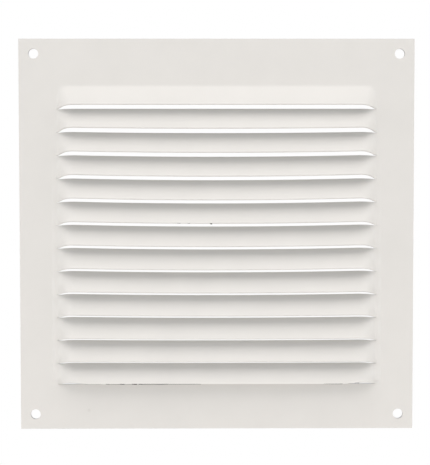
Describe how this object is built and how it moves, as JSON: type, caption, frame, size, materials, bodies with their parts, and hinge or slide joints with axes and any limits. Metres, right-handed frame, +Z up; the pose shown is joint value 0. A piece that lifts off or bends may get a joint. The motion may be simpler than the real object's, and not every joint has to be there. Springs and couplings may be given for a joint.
{
  "type": "ventilation grille",
  "caption": "One-piece ventilation grille, about 200 mm square, of off-white lacquered sheet, with a row of outward-pressed louvre slats across its middle and a plain screw hole in each corner.",
  "frame": {"origin": "centre of the four screw holes, on the back face that lies against the wall", "axes": "+Z up as it is fixed to a wall, +X to the right seen from the front, +Y into the wall; the louvres face -Y"},
  "size_m": [0.2, 0.0067, 0.198],
  "materials": {
    "lacquered_sheet": "smooth satin off-white lacquer on aluminium sheet"
  },
  "bodies": {
    "root": {"louvre_plate": "lacquered_sheet"}
  },
  "joints": []
}
